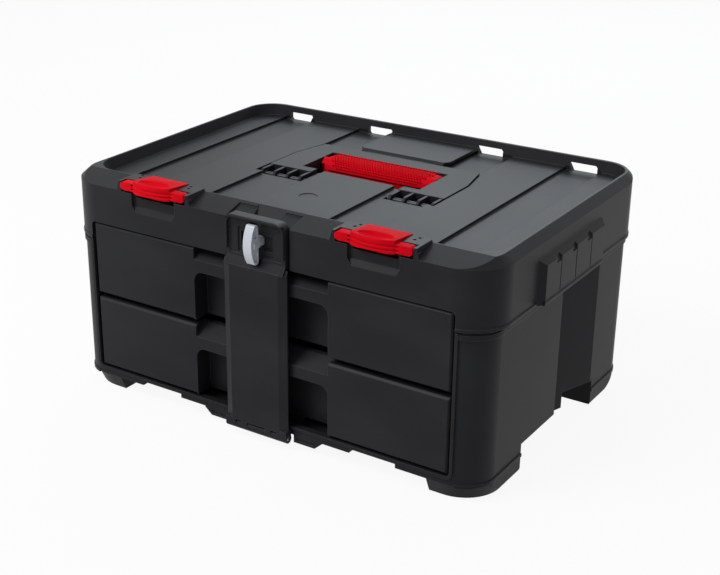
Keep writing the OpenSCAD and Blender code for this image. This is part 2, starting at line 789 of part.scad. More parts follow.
module latch_left() { color(red) placed() translate([-latch_x, 0, 0]) latch(); }
module latch_right() { color(red) placed() translate([latch_x, 0, 0]) latch(); }
module latch_pin_left() { color(steel) placed() translate([-latch_x, 0, 0]) latch_pin(); }
module latch_pin_right() { color(steel) placed() translate([latch_x, 0, 0]) latch_pin(); }

// ---------- lock bar and knob ----------

// plan of the bar below the shoulder: bevelled face, open back
module bar_plan(inset) {
  half = bar_w / 2 - inset;
  polygon([[-half, bar_back], [-half, bar_back - 2], [-half + bar_bevel, bar_face + inset],
    [half - bar_bevel, bar_face + inset], [half, bar_back - 2], [half, bar_back]]);
}

module bar_lower() {
  low = hinge_z + 3.5;
  top = bar_step_z - 5;
  hollow = top - low - bar_foot - 3;
  difference() {
    translate([0, 0, low]) linear_extrude(top - low) bar_plan(0);
    translate([0, 0, low + bar_foot]) linear_extrude(hollow)
      translate([0, cut / 2]) bar_plan(bar_skin);
  }
  // ribs across the open back
  for (i = [1:5])
    translate([0, 0, low + bar_foot + i * hollow / 6]) linear_extrude(2) bar_plan(bar_skin / 2);
  for (x = [-12, 12])
    span([x - 1, bar_face + 1, low + bar_foot / 2], [x + 1, bar_back, top - 2]);
}

module bar_upper() {
  // sloped shoulder and recessed head
  slab_x(-bar_upper_half, bar_upper_half) polygon([[bar_face, bar_step_z - 6],
    [bar_upper_face, bar_step_z + 3], [bar_upper_face, bar_top - 3.4], [bar_upper_face + 2, bar_top],
    [bar_upper_back, bar_top], [bar_upper_back, bar_step_z], [bar_back, bar_step_z],
    [bar_back, bar_step_z - 6]]);
  mirrored_x() slab_x(bar_upper_half - 1, bar_w / 2) polygon([[bar_face + 2.5, bar_step_z - 6],
    [bar_upper_face, bar_step_z - 1], [bar_back, bar_step_z - 1], [bar_back, bar_step_z - 6]]);
  // pull lip
  slab_x(-bar_upper_half, bar_upper_half)
    rounded_rect(bar_upper_face - 5, bar_upper_back, lip_z, bar_top + 0.2, 1.5);
}

module bar_window() {
  for (s = [[30, -14, 16, 1], [21, -12.5, 12.5, 2.4], [18, -6.5, 8, 5.4]])
    slab_y(bar_upper_face - cut, bar_upper_face + s[3])
      translate([0, knob_z]) rounded_rect(-s[0], s[0], s[1], s[2], 1.5);
  // slot that the upright wing passes through
  span([-slot_w / 2, bar_face - 9, slot_low], [slot_w / 2, bar_upper_back + cut, slot_high]);
}

module lock_bar() {
  color(black) placed() difference() {
    union() {
      bar_lower();
      bar_upper();
      rod_x(-bar_w / 2, bar_w / 2, hinge_y, hinge_z, knuckle_r);
      span([-bar_w / 2, bar_face, hinge_z + 0.5], [bar_w / 2, hinge_y + knuckle_r - 0.6, hinge_z + 8]);
    }
    bar_window();
    rod_x(-bar_w, bar_w, hinge_y, hinge_z, bar_pin_r + pin_gap);
    // notches for the case's knuckles
    span([-notch_centre_half, bar_face - 5, 0], [notch_centre_half, frame_y, hinge_z + knuckle_r + 1.2]);
    mirrored_x() span([notch_side[0], bar_face - 5, 0], [notch_side[1], frame_y, hinge_z + knuckle_r + 1.2]);
  }
}

module lock_bar_pin() {
  color(steel) placed() rod_x(-bar_w / 2 + 0.5, bar_w / 2 - 0.5, hinge_y, hinge_z, bar_pin_r);
}

module lock_knob() {
  front = cover_front - knob_reach;
  neck = bar_upper_face - 1.5;
  arch_r = 33;
  color(grey) placed() difference() {
    union() {
      // wing with a convex front
      slab_x(-knob_w / 2, knob_w / 2) intersection() {
        rounded_rect(front - 5, neck, knob_z - knob_h / 2, knob_z + knob_h / 2, 2.5);
        translate([front + arch_r, knob_z]) circle(arch_r, $fn = 128);
      }
      rod_y(front + 4.5, neck + 3, 0, knob_z, slot_w / 2 - 0.8);
      rod_y(neck, notch_back + 11.5, 0, knob_z, knob_shaft_r);
    }
    // pockets beside the hub
    mirrored_x() for (side = [-1, 1])
      slab_x(knob_w / 2 - 2.5, knob_w / 2 + 2)
        translate([0, knob_z + side * knob_pocket])
          rounded_rect(front + 4, neck - 1.5, -4.5, 4.5, 1.2);
    rod_y(notch_back - 4, notch_back + 13, 0, knob_z, 1.6);
    // bore for a padlock or a seal
    rod_x(-knob_w, knob_w, front + 7, knob_z + knob_pocket, padlock_r);
  }
}

module knob_washer() {
  color(steel) placed() difference() {
    rod_y(notch_back + 11.5, notch_back + 13, 0, knob_z, knob_shaft_r + 3);
    rod_y(notch_back + 11, notch_back + 14, 0, knob_z, 1.6);
  }
}

module knob_screw() {
  color(steel) placed() {
    rod_y(notch_back + 13, notch_back + 15.5, 0, knob_z, 3.5);
    rod_y(notch_back - 3, notch_back + 14, 0, knob_z, 1.55);
  }
}

// ---------- drawers, drawn for the lower drawer ----------

module tray_side_profile(inset) {
  low = lower_z + tray_drop + inset;
  polygon([[tray_front + inset, lower_z + tray_drop + tray_h + cut * sign(inset)],
    [tray_front + inset, low + tray_chamfer], [tray_front + tray_chamfer + inset * 0.6, low],
    [tray_back - tray_chamfer - inset * 0.6, low], [tray_back - inset, low + tray_chamfer],
    [tray_back - inset, lower_z + tray_drop + tray_h + cut * sign(inset)]]);
}

module tray_solid(inset) {
  intersection() {
    slab_x(-tray_half, tray_half) tray_side_profile(inset);
    linear_extrude(lower_z + front_h)
      rounded_rect(-tray_half + inset, tray_half - inset, tray_front + inset, tray_back - inset, 8 - inset);
  }
}

module tray() {
  z0 = lower_z + tray_drop;
  difference() {
    union() {
      difference() {
        tray_solid(0);
        tray_solid(tray_wall);
      }
      // guides for the dividers on the front and the back wall
      for (x = [-divider_x, divider_x], side = [-1, 1],
          y = [tray_front + tray_wall - 0.5, tray_back - tray_wall - 1.5])
        span([x + side * (divider_t / 2 + 0.2 + 0.75) - 0.75, y, z0 + tray_chamfer + tray_wall],
          [x + side * (divider_t / 2 + 0.2 + 0.75) + 0.75, y + 2, z0 + tray_h - 6]);
    }
    mirrored_x() {
      for (x = screw_x)
        rod_y(tray_front - cut, tray_front + tray_wall + cut, x, lower_z + front_h / 2, 2);
      for (y = slide_screw_y())
        rod_x(tray_half - tray_wall - 1, tray_half + 1, y, slide_z, 1.5 + seat_gap);
    }
  }
}

slide_z = lower_z + front_h / 2;
function slide_screw_y() = [slide_front + 30, slide_front + slide_len - 60];

// pull strip with a thin lip in front and a top that slopes back
module pull_strip() {
  z0 = lower_z + recess_h;
  top = lower_z + front_h;
  slab_x(-recess_w / 2 - 1, recess_w / 2 + 1) polygon([[face_y, z0], [face_y, z0 + 12],
    [face_y + 16, top - 1.5], [tray_front, top - 1.5], [tray_front, top - 4.5],
    [face_y + 17, top - 4.5], [face_y + front_skin, z0 + 11], [face_y + front_skin, z0]]);
}

// notch is the height of the free space under the recess's back wall, for the swinging bar
module drawer_front(notch) {
  half = front_w / 2;
  top = lower_z + front_h;
  edge = 2;
  side = recess_w / 2;
  difference() {
    union() {
      // skin with a bevelled edge
      hull() {
        span([-half + edge, face_y, lower_z + edge], [half - edge, face_y + 0.5, top - edge]);
        span([-half, face_y + edge, lower_z], [half, face_y + front_skin, top]);
      }
      // returned edges
      difference() {
        span([-half, face_y + front_skin - 0.1, lower_z], [half, tray_front - 4, top]);
        span([-half + 2.5, face_y + front_skin - 0.2, lower_z + 2.5], [half - 2.5, tray_front, top - 2.5]);
      }
      // side walls of the finger recess
      mirrored_x() span([side, face_y + 1, lower_z], [side + 2.5, tray_front, top - 1.5]);
      // back wall of the finger recess, shorter behind the lock bar
      span([-side - 1, tray_front - 2, lower_z + notch], [side + 1, tray_front, lower_z + recess_h + 11]);
      mirrored_x() span([notch_half + 1, tray_front - 2, lower_z],
        [side + 1, tray_front, lower_z + tray_drop + 1]);
      // bosses that the tray is screwed to
      mirrored_x() for (x = screw_x)
        rod_y(face_y + front_skin - 0.5, tray_front, x, lower_z + front_h / 2, 5);
    }
    // finger recess, open below, and the room above the strip
    slab_y(face_y - cut, tray_front - 2)
      rounded_rect(-side, side, lower_z - 2 * recess_r, lower_z + recess_h, recess_r);
    slab_y(face_y - cut, tray_front + cut)
      translate([-side, lower_z + recess_h + 12]) square([2 * side, strip_h]);
    // hollow behind the strip's lip
    span([-side, face_y + front_skin, lower_z + recess_h - recess_r], [side, tray_front - 2, top + cut]);
    mirrored_x() for (x = screw_x)
      rod_y(face_y + 6, tray_front + cut, x, lower_z + front_h / 2, 1.5 + seat_gap);
  }
  pull_strip();
}

module front_screws() {
  mirrored_x() for (x = screw_x) {
    rod_y(tray_front + tray_wall, tray_front + tray_wall + 2.4, x, lower_z + front_h / 2, 3.6);
    rod_y(face_y + 8, tray_front + tray_wall + 1, x, lower_z + front_h / 2, 1.5);
  }
}

module divider() {
  z0 = lower_z + tray_drop + tray_wall;
  h = tray_h - tray_wall - 6;
  slab_x(-divider_t / 2, divider_t / 2) difference() {
    polygon([[tray_front + tray_wall + 0.3, z0 + h], [tray_front + tray_wall + 0.3, z0 + tray_chamfer + 1],
      [tray_front + tray_chamfer + 3, z0 + 0.1], [tray_back - tray_chamfer - 3, z0 + 0.1],
      [tray_back - tray_wall - 0.3, z0 + tray_chamfer + 1], [tray_back - tray_wall - 0.3, z0 + h]]);
    // dip to lift it by
    translate([(tray_front + tray_back) / 2, z0 + h + 22]) circle(32, $fn = 96);
  }
}

module raised() { translate([0, 0, front_pitch]) children(); }

module upper_tray() { color(dark) placed() raised() tray(); }
module upper_front() { color(black) placed() raised() drawer_front(0); }
module upper_front_screws() { color(steel) placed() raised() front_screws(); }
module upper_divider_left() { color(dark) placed() raised() translate([-divider_x, 0, 0]) divider(); }
module upper_divider_right() { color(dark) placed() raised() translate([divider_x, 0, 0]) divider(); }
module lower_tray() { color(dark) placed() tray(); }
module lower_front() { color(black) placed() drawer_front(tray_drop); }
module lower_front_screws() { color(steel) placed() front_screws(); }
module lower_divider_left() { color(dark) placed() translate([-divider_x, 0, 0]) divider(); }
module lower_divider_right() { color(dark) placed() translate([divider_x, 0, 0]) divider(); }

// ---------- ball-bearing slides, drawn for the lower right side ----------

// arc of rolled steel round a ball, on the side that faces away from the slide's centre
module race(q, outward) {
  translate([race_p, q]) difference() {
    circle(race_r + steel_t, $fn = 48);
    circle(race_r, $fn = 48);
    translate([-10, outward > 0 ? -20 : 0]) square([20, 20]);
    translate([-10, outward > 0 ? -20 + 0.5 : -0.5]) square([20, 20]);
  }
}

// places a (p, q) profile on the right wall of the bay and extrudes it along the slide
module along_slide(y0, y1) {
  translate([bay_half, y1, slide_z]) rotate([90, 0, 0]) linear_extrude(y1 - y0)
    mirror([1, 0]) children();
}

module slide_outer() {
  along_slide(slide_front, slide_front + slide_len) {
    translate([0, -slide_h / 2]) square([steel_t, slide_h]);
    for (s = [-1, 1]) {
      race(s * outer_q, s);
      translate([0, s > 0 ? slide_h / 2 - steel_t : -slide_h / 2]) square([race_p, steel_t]);
    }
  }
}

module slide_middle() {
  web = steel_t + 0.5;
  along_slide(slide_front, slide_front + slide_len) {
    translate([web, -inner_q]) square([steel_t, 2 * inner_q]);
    for (s = [-1, 1]) {
      race(s * outer_q, -s);
      race(s * inner_q, s);
      translate([web, s * (inner_q + race_r + steel_t / 2) - steel_t / 2])
        square([race_p - web, steel_t]);
      translate([web, s > 0 ? inner_q - 0.5 : -inner_q - race_r - steel_t / 2])
        square([steel_t, race_r + steel_t / 2 + 0.5]);
    }
  }
}

module slide_inner() {
  difference() {
    along_slide(slide_front, slide_front + slide_len) {
      web_h = inner_q - race_r;
      translate([slide_t - steel_t, -web_h]) square([steel_t, 2 * web_h]);
      for (s = [-1, 1]) {
        race(s * inner_q, -s);
        translate([race_p, s * (web_h - steel_t / 2) - steel_t / 2])
          square([slide_t - race_p, steel_t]);
      }
    }
    for (y = slide_screw_y())
      rod_x(tray_half - 1, tray_half + steel_t + 1, y, slide_z, 1.5 + seat_gap);
  }
  // pan-head screws into the tray
  for (y = slide_screw_y()) {
    rod_x(tray_half + steel_t, tray_half + steel_t + 1.6, y, slide_z, 3);
    rod_x(tray_half - tray_wall, tray_half + steel_t + 0.5, y, slide_z, 1.5 + seat_gap);
  }
}

function cage_rows() = [[outer_q, slide_front + slide_len - cage_len - 5], [inner_q, slide_front + 5]];
function ball_start() = (cage_len - (balls_per_row - 1) * ball_pitch) / 2;

module ball_cages() {
  for (row = cage_rows(), s = [-1, 1]) difference() {
    along_slide(row[1], row[1] + cage_len)
      translate([race_p - 1.9, s * row[0] - cage_t / 2]) square([3.8, cage_t]);
    for (i = [0:balls_per_row - 1])
      translate([bay_half - race_p, row[1] + ball_start() + i * ball_pitch, slide_z + s * row[0] - 2])
        cylinder(h = 4, r = ball_r + 0.05, $fn = 32);
  }
}

module balls() {
  for (row = cage_rows(), s = [-1, 1], i = [0:balls_per_row - 1])
    translate([bay_half - race_p, row[1] + ball_start() + i * ball_pitch, slide_z + s * row[0]])
      sphere(r = ball_r, $fn = 24);
}

module on_left() { mirror([1, 0, 0]) children(); }

module upper_left_outer_slide() { color(steel) placed() raised() on_left() slide_outer(); }
module upper_left_middle_slide() { color(steel) placed() raised() on_left() slide_middle(); }
module upper_left_inner_slide() { color(steel) placed() raised() on_left() slide_inner(); }
module upper_right_outer_slide() { color(steel) placed() raised() slide_outer(); }
module upper_right_middle_slide() { color(steel) placed() raised() slide_middle(); }
module upper_right_inner_slide() { color(steel) placed() raised() slide_inner(); }
module lower_left_outer_slide() { color(steel) placed() on_left() slide_outer(); }
module lower_left_middle_slide() { color(steel) placed() on_left() slide_middle(); }
module lower_left_inner_slide() { color(steel) placed() on_left() slide_inner(); }
module lower_right_outer_slide() { color(steel) placed() slide_outer(); }
module lower_right_middle_slide() { color(steel) placed() slide_middle(); }
module lower_right_inner_slide() { color(steel) placed() slide_inner(); }
module upper_left_ball_cages() { color(steel) placed() raised() on_left() ball_cages(); }
module upper_right_ball_cages() { color(steel) placed() raised() ball_cages(); }
module lower_left_ball_cages() { color(steel) placed() on_left() ball_cages(); }
module lower_right_ball_cages() { color(steel) placed() ball_cages(); }
module upper_left_balls() { color(steel) placed() raised() on_left() balls(); }
module upper_right_balls() { color(steel) placed() raised() balls(); }
module lower_left_balls() { color(steel) placed() on_left() balls(); }
module lower_right_balls() { color(steel) placed() balls(); }

case_body();
top_cover();
cover_screws();
carry_handle();
handle_grip();
handle_pin_left();
handle_pin_right();
latch_left();
latch_right();
latch_pin_left();
latch_pin_right();
lock_bar();
lock_bar_pin();
lock_knob();
knob_washer();
knob_screw();
upper_tray();
upper_front();
upper_front_screws();
upper_divider_left();
upper_divider_right();
lower_tray();
lower_front();
lower_front_screws();
lower_divider_left();
lower_divider_right();
upper_left_outer_slide();
upper_left_middle_slide();
upper_left_inner_slide();
upper_right_outer_slide();
upper_right_middle_slide();
upper_right_inner_slide();
lower_left_outer_slide();
lower_left_middle_slide();
lower_left_inner_slide();
lower_right_outer_slide();
lower_right_middle_slide();
lower_right_inner_slide();
upper_left_ball_cages();
upper_right_ball_cages();
lower_left_ball_cages();
lower_right_ball_cages();
upper_left_balls();
upper_right_balls();
lower_left_balls();
lower_right_balls();
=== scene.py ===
import json
import math

import bpy
import bmesh
from mathutils import Matrix, Vector


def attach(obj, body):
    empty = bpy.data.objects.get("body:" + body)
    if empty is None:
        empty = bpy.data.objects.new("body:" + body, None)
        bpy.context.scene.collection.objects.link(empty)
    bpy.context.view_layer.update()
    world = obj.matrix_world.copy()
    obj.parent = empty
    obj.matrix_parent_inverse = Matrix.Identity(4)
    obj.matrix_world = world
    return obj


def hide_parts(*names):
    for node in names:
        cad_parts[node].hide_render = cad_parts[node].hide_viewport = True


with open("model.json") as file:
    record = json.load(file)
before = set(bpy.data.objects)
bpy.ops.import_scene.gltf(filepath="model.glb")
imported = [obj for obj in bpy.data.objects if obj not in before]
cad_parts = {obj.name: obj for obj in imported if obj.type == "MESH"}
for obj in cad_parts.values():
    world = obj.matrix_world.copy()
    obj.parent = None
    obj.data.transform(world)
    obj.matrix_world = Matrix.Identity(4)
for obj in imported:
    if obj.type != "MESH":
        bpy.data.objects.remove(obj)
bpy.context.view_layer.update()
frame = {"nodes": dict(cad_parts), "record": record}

nodes = frame["nodes"]


# camera, floor and light

cameraFit = {
    "place": (0.6989, -1.0999, 0.6471),
    "azimuth": 34.649,
    "elevation": 22.633,
    "roll": -0.254,
    "lens": 67.89,
    "shift": (0.0817, 0.0028),
    "nearest": 0.01,
}


def setCamera(fit):
    camera = bpy.data.cameras.new("camera")
    holder = bpy.data.objects.new("camera", camera)
    bpy.context.scene.collection.objects.link(holder)
    turn = (Matrix.Rotation(math.radians(fit["azimuth"]), 4, "Z")
            @ Matrix.Rotation(math.radians(90 - fit["elevation"]), 4, "X")
            @ Matrix.Rotation(math.radians(fit["roll"]), 4, "Z"))
    holder.matrix_world = Matrix.Translation(fit["place"]) @ turn
    camera.lens = fit["lens"]
    camera.shift_x, camera.shift_y = fit["shift"]
    camera.clip_start = fit["nearest"]
    bpy.context.scene.camera = holder


class Wire:  # one socket, so that a sum of sockets reads as Python
    tree = None

    def __init__(self, socket):
        self.socket = socket

    @classmethod
    def node(cls, kind, values=None, settings=None, output=0):
        made = cls.tree.nodes.new(kind)
        for name, value in (settings or {}).items():
            if name == "stops":
                cls.setStops(made.color_ramp, value)
            else:
                setattr(made, name, value)
        for name, value in (values or {}).items():
            if isinstance(value, Wire):
                cls.tree.links.new(value.socket, made.inputs[name])
            else:
                made.inputs[name].default_value = value
        return cls(made.outputs[output])

    @staticmethod
    def setStops(ramp, stops):
        first, last = ramp.elements[0], ramp.elements[-1]
        for stop, (spot, tone) in ((first, stops[0]), (last, stops[-1])):
            stop.position = spot
            stop.color = (tone, tone, tone, 1)
        for spot, tone in stops[1:-1]:
            ramp.elements.new(spot).color = (tone, tone, tone, 1)

    def math(self, operation, *others):
        inputs = dict(enumerate((self, *others)))
        return Wire.node("ShaderNodeMath", inputs, {"operation": operation})

    def __add__(self, other):
        return self.math("ADD", other)

    def __mul__(self, other):
        return self.math("MULTIPLY", other)

    def __sub__(self, other):
        return self.math("SUBTRACT", other)

    def __rsub__(self, other):
        return Wire.node("ShaderNodeMath", {0: other, 1: self}, {"operation": "SUBTRACT"})

    __radd__ = __add__
    __rmul__ = __mul__

    def dot(self, other):
        return Wire.node("ShaderNodeVectorMath", {0: self, 1: other},
                         {"operation": "DOT_PRODUCT"}, "Value")

    def ramp(self, *stops):
        return Wire.node("ShaderNodeValToRGB", {"Fac": self}, {"stops": stops})

    def blend(self, low, high):  # colour low where this is 0, high where it is 1
        paint = lambda tone: tone if isinstance(tone, Wire) else (*tone, 1)
        return Wire.node("ShaderNodeMix", {0: self, 6: paint(low), 7: paint(high)},
                         {"data_type": "RGBA"}, 2)


def objectPlace(stretch):
    place = Wire.node("ShaderNodeTexCoord", output="Object")
    return Wire.node("ShaderNodeMapping", {"Vector": place, "Scale": stretch})


def noise(scale, detail, rough=0.5, stretch=(1, 1, 1)):  # its values lie around 0.5
    return Wire.node("ShaderNodeTexNoise", {"Vector": objectPlace(stretch), "Scale": scale,
                                            "Detail": detail, "Roughness": rough})


# edge sharpness mask, used for real edge wear and for a painted highlight along every edge
edgeWearAndHighlight = {"samples": 6, "bend": ((0.012, 0), (0.16, 1))}


def roundedEdge(radius):  # normal softened at the edges, and how sharp each edge is
    soft = Wire.node("ShaderNodeBevel", {"Radius": radius}, {"samples": edgeWearAndHighlight["samples"]})
    flat = Wire.node("ShaderNodeNewGeometry", output="Normal")
    return soft, (1 - soft.dot(flat)).ramp(*edgeWearAndHighlight["bend"])


def newMaterial(name):
    material = bpy.data.materials.new(name)
    material.use_nodes = True
    Wire.tree = material.node_tree
    Wire.tree.nodes.clear()
    return material


def outlet(shader, kind="ShaderNodeOutputMaterial"):
    made = Wire.tree.nodes.new(kind)
    Wire.tree.links.new(shader.socket, made.inputs["Surface"])


def seenDirectly():  # 1 for the camera's own rays and for reflections, 0 for the light that falls
    path = {name: Wire.node("ShaderNodeLightPath", output=name)
            for name in ("Is Camera Ray", "Is Glossy Ray", "Is Transmission Ray")}
    return path["Is Camera Ray"].math("MAXIMUM", path["Is Glossy Ray"]).math(
        "MAXIMUM", path["Is Transmission Ray"])


studio = {
    "skyTone": (0.93, 0.96, 1.0),
    "skyLight": 0.34,
    "floorSize": 9,
    "floorHeight": -0.0002,
    "floorTone": (0.8, 0.8, 0.8, 1),
    "floorGlow": 0.92,
    "softboxes": (
        # place, aimed at, width, height, watts, colour
        ((-0.85, -1.4, 1.9), (0, 0, 0.1), 1.2, 1.0, 39, (1, 1, 1)),
        ((-0.5, 1.9, 1.5), (0, 0, 0.2), 1.8, 0.9, 22, (0.8, 0.91, 1)),
    ),
}


def makeStudio(look):
    world = bpy.data.worlds.new("studio")
    bpy.context.scene.world = world
    world.use_nodes = True
    Wire.tree = world.node_tree
    Wire.tree.nodes.clear()
    seen = seenDirectly()
    tone = seen.blend(look["skyTone"], (1, 1, 1))
    strength = seen * (1 - look["skyLight"]) + look["skyLight"]
    outlet(Wire.node("ShaderNodeBackground", {"Color": tone, "Strength": strength}),
           "ShaderNodeOutputWorld")

    bpy.ops.mesh.primitive_plane_add(size=look["floorSize"], location=(0, 0, look["floorHeight"]))
    floor = bpy.context.object
    floor.name = "floor"
    floor.data.materials.append(newMaterial("floor"))
    matte = Wire.node("ShaderNodeBsdfDiffuse", {"Color": look["floorTone"]})
    glow = Wire.node("ShaderNodeEmission", {"Color": (1, 1, 1, 1), "Strength": 1})
    share = seenDirectly() * look["floorGlow"]
    outlet(Wire.node("ShaderNodeMixShader", {0: share, 1: matte, 2: glow}))

    for number, (place, aim, width, height, power, colour) in enumerate(look["softboxes"]):
        lamp = bpy.data.lights.new(f"softbox{number}", "AREA")
        lamp.shape = "RECTANGLE"
        lamp.size, lamp.size_y, lamp.energy, lamp.color = width, height, power, colour
        holder = bpy.data.objects.new(lamp.name, lamp)
        holder.location = place
        holder.rotation_euler = (Vector(aim) - Vector(place)).to_track_quat("-Z", "Y").to_euler()
        bpy.context.scene.collection.objects.link(holder)


bpy.context.scene.view_settings.view_transform = "Standard"
setCamera(cameraFit)
makeStudio(studio)
print("studio ready")


# finishes: tone turns to pale in broad marks and lighter where edges are worn; every edge is also
# lightened as a painted highlight

# rub: colour of worn edges, and of the painted highlight along every edge
plasticLooks = {
    "black_plastic": {
        "tone": (0.013, 0.0132, 0.0145), "pale": (0.021, 0.0215, 0.0235),
        "rubAndHighlight": (0.07, 0.071, 0.075), "rough": 0.42, "grain": 0.45, "edge": 0.0009, "gloss": 0.1,
    },
    "dark_plastic": {
        "tone": (0.011, 0.0112, 0.0125), "pale": (0.018, 0.0185, 0.02),
        "rubAndHighlight": (0.06, 0.061, 0.065), "rough": 0.45, "grain": 0.5, "edge": 0.0009, "gloss": 0.1,
    },
    "red_plastic": {
        "tone": (0.6, 0.0015, 0.008), "pale": (0.7, 0.004, 0.014),
        "rubAndHighlight": (0.8, 0.04, 0.06), "rough": 0.55, "grain": 0.25, "edge": 0.0004, "gloss": 0.02,
    },
    "grey_plastic": {
        "tone": (0.52, 0.55, 0.6), "pale": (0.6, 0.63, 0.68),
        "rubAndHighlight": (0.75, 0.77, 0.8), "rough": 0.34, "grain": 0.2, "edge": 0.001, "gloss": 0.4,
    },
}

moulding = {
    "flow": {"scale": 7, "detail": 4, "stretch": (1, 1.7, 2.3)},  # broad marks where the melt ran
    "grain": {"scale": 1300, "detail": 2},  # fine spark-eroded skin
    "scuff": {"scale": 55, "detail": 6, "rough": 0.7, "stretch": (1, 1, 5)},
    "flowStops": ((0.35, 0), (0.7, 1)),
    "scuffStops": ((0.42, 0), (0.66, 1)),
    # rubTone: real wear where scuffs meet edges; paintedEdgeHighlight: painted highlight on every
    # edge
    "rubTone": 0.35, "paintedEdgeHighlight": 0.5,
    "flowRough": 0.12, "grainRough": 0.1, "rubRough": 0.1,
    "depth": 0.00004, "scuffDepth": 0.4,
}


def mouldedPlastic(name, look):
    material = newMaterial(name)
    flow, grain, scuff = (noise(**moulding[mark]) for mark in ("flow", "grain", "scuff"))
    soft, edge = roundedEdge(look["edge"])
    rubbed = edge * scuff.ramp(*moulding["scuffStops"])
    tone = flow.ramp(*moulding["flowStops"]).blend(look["tone"], look["pale"])
    # painted highlight along every edge, plus real wear where scuffs meet edges
    wearAndHighlight = rubbed * moulding["rubTone"] + edge * moulding["paintedEdgeHighlight"]
    tone = wearAndHighlight.blend(tone, look["rubAndHighlight"])
    rough = (look["rough"] + (flow - 0.5) * moulding["flowRough"]
             + (grain - 0.5) * moulding["grainRough"] - rubbed * moulding["rubRough"])
    height = grain + scuff * moulding["scuffDepth"]
    skin = Wire.node("ShaderNodeBump", {"Strength": look["grain"], "Distance": moulding["depth"],
                                       "Height": height, "Normal": soft})
    outlet(Wire.node("ShaderNodeBsdfPrincipled",
                     {"Base Color": tone, "Roughness": rough, "Normal": skin,
                      "Specular IOR Level": look["gloss"]}))
    return material


metalLooks = {
    "zinc_steel": {
        "tone": (0.55, 0.56, 0.58), "pale": (0.66, 0.66, 0.64),
        "rough": 0.34, "drawn": (240, 6, 240),
    },
    "black_steel": {
        "tone": (0.028, 0.028, 0.03), "pale": (0.045, 0.045, 0.047),
        "rough": 0.36, "drawn": (6, 240, 240),
    },
    "bright_steel": {
        "tone": (0.6, 0.6, 0.62), "pale": (0.7, 0.7, 0.71),
        "rough": 0.26, "drawn": (8, 200, 200),
    },
    "ball_steel": {
        "tone": (0.66, 0.66, 0.67), "pale": (0.74, 0.74, 0.75),
        "rough": 0.12, "drawn": (90, 90, 90),
    },
}

drawing = {
    "lines": {"scale": 4, "detail": 4},  # each metal stretches them its own way
    "cloud": {"scale": 35, "detail": 4},
    "cloudStops": ((0.35, 0), (0.7, 1)),
    "lineRough": 0.14, "cloudRough": 0.1, "edgeRough": 0.05,
    "edge": 0.0004, "strength": 0.3, "depth": 0.00003,
}


def drawnMetal(name, look):
    material = newMaterial(name)
    lines = noise(**drawing["lines"], stretch=look["drawn"])
    cloud = noise(**drawing["cloud"])
    soft, edge = roundedEdge(drawing["edge"])
    tone = cloud.ramp(*drawing["cloudStops"]).blend(look["tone"], look["pale"])
    rough = (look["rough"] + (lines - 0.5) * drawing["lineRough"]
             + (cloud - 0.5) * drawing["cloudRough"] - edge * drawing["edgeRough"])
    skin = Wire.node("ShaderNodeBump", {"Strength": drawing["strength"],
                                       "Distance": drawing["depth"],
                                       "Height": lines, "Normal": soft})
    outlet(Wire.node("ShaderNodeBsdfPrincipled",
                     {"Base Color": tone, "Roughness": rough, "Normal": skin, "Metallic": 1.0}))
    return material


finishes = {name: mouldedPlastic(name, look) for name, look in plasticLooks.items()}
finishes.update({name: drawnMetal(name, look) for name, look in metalLooks.items()})
for part in frame["record"]["subparts"]:
    mesh = nodes[part["node"]].data
    mesh.materials.clear()
    mesh.materials.append(finishes[part["material_slot"]])
print("finishes ready")


# modelling helpers; sizes are in millimetres, the mesh itself is in metres

touch = 0.1  # a corner this near to a face counts as lying on it
clear = 1  # how far a cutter reaches past what it cuts
parallel = 0.99  # an edge counts as along an axis when the cosine between them is larger


def metres(values):
    return [value / 1000 for value in values]


def takeHold(name):
    made = bpy.context.object
    made.name = made.data.name = name
    bpy.ops.object.transform_apply(location=True, rotation=True, scale=True)
    return made


def block(name, low, high):
    bpy.ops.mesh.primitive_cube_add(size=1, location=[(a + b) / 2000 for a, b in zip(low, high)])
    bpy.context.object.scale = [(b - a) / 1000 for a, b in zip(low, high)]
    return takeHold(name)


def ball(name, place, radii, segments=48, rings=24):
    bpy.ops.mesh.primitive_uv_sphere_add(segments=segments, ring_count=rings, radius=1,
                                         location=metres(place))
    bpy.context.object.scale = metres(radii)
    return takeHold(name)


def rod(name, place, radius, length, sides, turn=(0, 0, 0)):
    bpy.ops.mesh.primitive_cylinder_add(vertices=sides, radius=radius / 1000, depth=length / 1000,
                                        location=metres(place), rotation=turn)
    return takeHold(name)


def ring(name, place, radius, thickness, steps, turn):
    bpy.ops.mesh.primitive_torus_add(major_segments=steps[0], minor_segments=steps[1],
                                     major_radius=radius / 1000, minor_radius=thickness / 1000,
                                     location=metres(place), rotation=(0, 0, turn))
    return takeHold(name)


def pickEdges(piece, test, axis=None):  # edges along the axis whose ends both pass the test
    bpy.context.view_layer.objects.active = piece
    bpy.ops.object.mode_set(mode="EDIT")
    bpy.ops.mesh.select_mode(type="EDGE")
    bpy.ops.mesh.select_all(action="DESELECT")
    shape = bmesh.from_edit_mesh(piece.data)
    for edge in shape.edges:
        way = (edge.verts[1].co - edge.verts[0].co).normalized()
        along = axis is None or abs(way[axis]) > parallel
        if along and all(test(*(corner.co * 1000)) for corner in edge.verts):
            edge.select_set(True)
    bmesh.update_edit_mesh(piece.data)


def bevelEdges(piece, test, width, steps=5, axis=None):
    pickEdges(piece, test, axis)
    bpy.ops.mesh.bevel(offset=width / 1000, segments=steps, affect="EDGES")
    bpy.ops.object.mode_set(mode="OBJECT")


def slideEdges(piece, test, way):
    pickEdges(piece, test)
    bpy.ops.transform.translate(value=metres(way))
    bpy.ops.object.mode_set(mode="OBJECT")


def bakeModifier(piece, change):
    bpy.context.view_layer.objects.active = piece
    bpy.ops.object.modifier_apply(modifier=change.name)


def combine(piece, tool, operation="DIFFERENCE"):
    change = piece.modifiers.new("combine", "BOOLEAN")
    change.operation, change.object, change.solver = operation, tool, "EXACT"
    bakeModifier(piece, change)
    bpy.data.objects.remove(tool)


